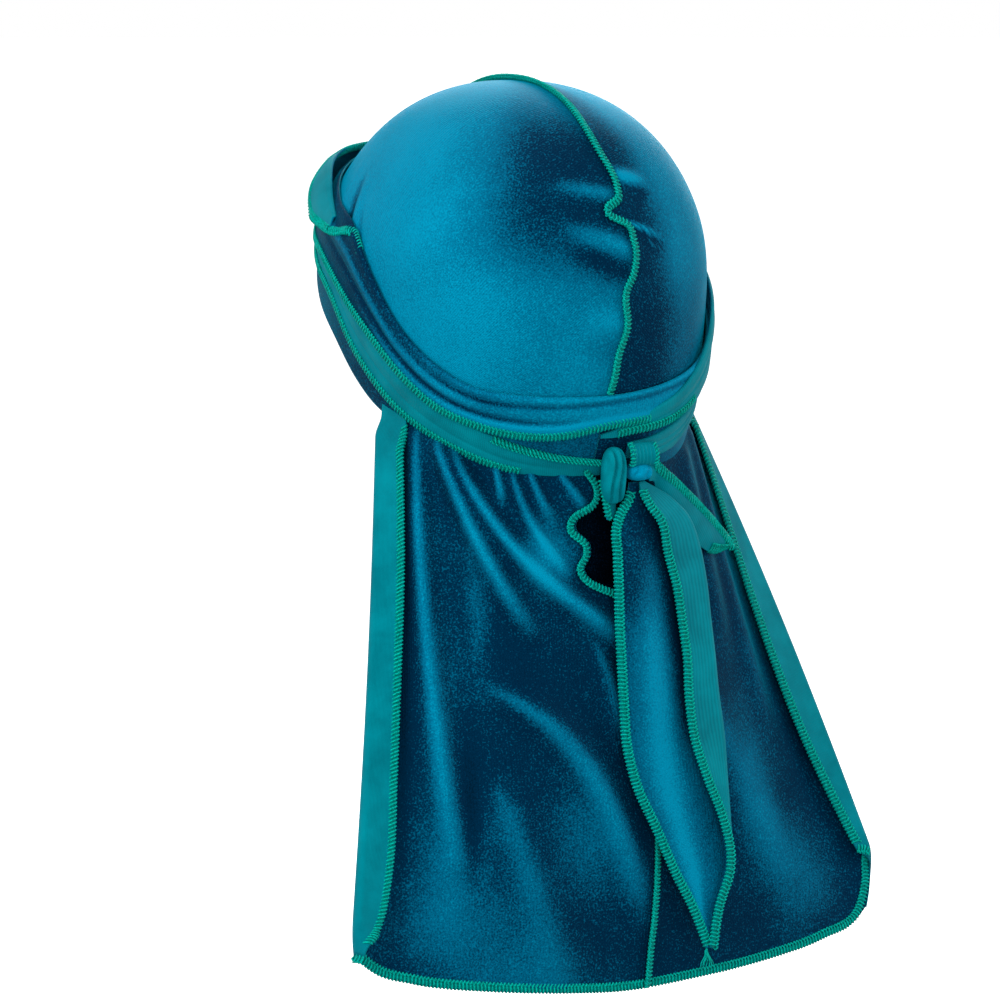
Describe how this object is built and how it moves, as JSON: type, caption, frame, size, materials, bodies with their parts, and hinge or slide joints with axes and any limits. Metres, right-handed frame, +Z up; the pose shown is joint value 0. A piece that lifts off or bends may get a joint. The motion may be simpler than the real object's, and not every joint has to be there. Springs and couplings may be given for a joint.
{
  "type": "durag",
  "caption": "A teal velvet durag in its worn form, with overlocked green seams, ties wound round the head, a knot at the nape and a long tail",
  "frame": {"origin": "the inside of the cap at its highest point, where it sits on the top of the head", "axes": "+Z up along the worn durag, its longest side; +Y out of the nape, where the tail hangs; +X towards the wearer's left"},
  "size_m": [0.2706, 0.2155, 0.3936],
  "materials": {
    "velvet": "velvet pile with a cyan sheen",
    "matte_reverse": "finely ribbed knit reverse",
    "thread": "overlock thread"
  },
  "bodies": {
    "root": {"crown_left": "velvet", "crown_right": "velvet", "crown_seam": "thread", "tail_left": "velvet", "tail_right": "velvet", "tail_seam": "thread", "upper_wrap": "velvet", "lower_wrap": "matte_reverse", "right_wrap": "matte_reverse", "knot_feed": "matte_reverse", "knot_loop": "matte_reverse", "knot_bridge": "matte_reverse", "knot_core": "velvet", "short_tie_end": "matte_reverse", "long_tie_end": "velvet", "rear_tie_end": "matte_reverse"}
  },
  "joints": []
}
